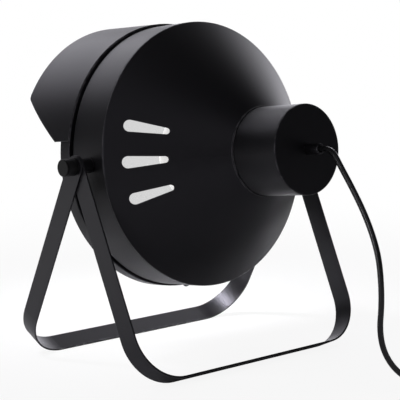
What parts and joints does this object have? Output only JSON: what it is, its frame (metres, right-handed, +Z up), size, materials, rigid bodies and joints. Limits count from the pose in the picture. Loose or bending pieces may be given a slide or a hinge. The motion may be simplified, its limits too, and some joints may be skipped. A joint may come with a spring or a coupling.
{
  "type": "searchlight table lamp",
  "caption": "Table lamp like a small searchlight: a drum head with cone back, vent slots and a hood, tilting between two folding U-shaped stands of flat bar.",
  "frame": {"origin": "on the table, in the middle of the lamp's footprint box without its cord", "axes": "+X along the tilt axis, -Y is the way the light goes, +Z up"},
  "size_m": [0.4835, 0.4444, 0.3813],
  "materials": {
    "black_paint": "satin",
    "black_plastic": "satin",
    "black_rubber": "matte",
    "cord_black": "satin",
    "ceramic_white": "gloss",
    "zinc_steel": "satin",
    "aluminium": "satin",
    "brass": "satin",
    "opal_glass": "gloss",
    "clear_glass": "gloss",
    "pale_insulation": "satin",
    "black_nylon": "matte"
  },
  "bodies": {
    "rear_stand": {"rear_frame": "black_paint", "cord_drop": "cord_black", "cord_link": "cord_black", "cord_tail": "cord_black", "cord_coil": "cord_black", "coil_tie": "black_plastic", "switch_base": "black_plastic", "switch_cover": "black_plastic", "rocker_pin": "zinc_steel", "switch_contacts": "ceramic_white", "switch_screws": "zinc_steel", "plug_body": "black_plastic", "plug_pins": "brass"},
    "front_stand": {"front_frame": "black_paint"},
    "head": {"drum_band": "black_paint", "rear_cone": "black_paint", "holder_can": "black_paint", "rear_cap": "black_paint", "threaded_nipple": "zinc_steel", "nipple_washer": "zinc_steel", "nipple_nut": "zinc_steel", "cord_gland": "black_paint", "cord_sleeve": "black_rubber", "cord_inlet": "cord_black", "holder_dome": "black_plastic", "holder_skirt": "black_plastic", "holder_insert": "ceramic_white", "thread_sleeve": "aluminium", "centre_contact": "brass", "terminal_screws": "zinc_steel", "inner_leads": "pale_insulation", "bulb_globe": "opal_glass", "bulb_cap": "aluminium", "bulb_insulator": "ceramic_white", "bulb_contact": "brass", "front_ring": "black_paint", "ring_collar": "black_paint", "glass_gasket": "black_rubber", "front_glass": "clear_glass", "ring_lock_screw": "black_paint", "ring_lock_nut": "zinc_steel", "hood": "black_paint", "pivot_saddle_right": "black_paint", "pivot_saddle_left": "black_paint", "pivot_nut_right": "zinc_steel", "pivot_nut_left": "zinc_steel", "pivot_stud_right": "zinc_steel", "pivot_stud_left": "zinc_steel", "pivot_spacer_right": "black_paint", "pivot_spacer_left": "black_paint", "friction_washer_right": "black_nylon", "friction_washer_left": "black_nylon"},
    "clamp_right": {"knob_right": "black_plastic", "knob_insert_right": "brass", "knob_washer_right": "zinc_steel"},
    "clamp_left": {"knob_left": "black_plastic", "knob_insert_left": "brass", "knob_washer_left": "zinc_steel"},
    "rocker": {"switch_rocker": "black_plastic"}
  },
  "joints": [
    {"name": "head_tilt", "type": "hinge", "parent": "rear_stand", "child": "head", "pos_m": [0, -0.03167, 0.2296], "axis": [1, 0, 0], "range_deg": [-45, 30], "deforming": ["cord_drop"]},
    {"name": "front_stand_fold", "type": "hinge", "parent": "rear_stand", "child": "front_stand", "pos_m": [0, -0.03167, 0.2296], "axis": [1, 0, 0], "range_deg": [-12, 44]},
    {"name": "clamp_knob_right", "type": "hinge", "parent": "head", "child": "clamp_right", "pos_m": [0.178, -0.03167, 0.2296], "axis": [1, 0, 0], "range_deg": [0, 540]},
    {"name": "clamp_knob_left", "type": "hinge", "parent": "head", "child": "clamp_left", "pos_m": [-0.178, -0.03167, 0.2296], "axis": [-1, 0, 0], "range_deg": [0, 540]},
    {"name": "switch_rocker_turn", "type": "hinge", "parent": "rear_stand", "child": "rocker", "pos_m": [-0.168, 0.262, 0.0136], "axis": [0, 1, 0], "range_deg": [0, 14]}
  ]
}
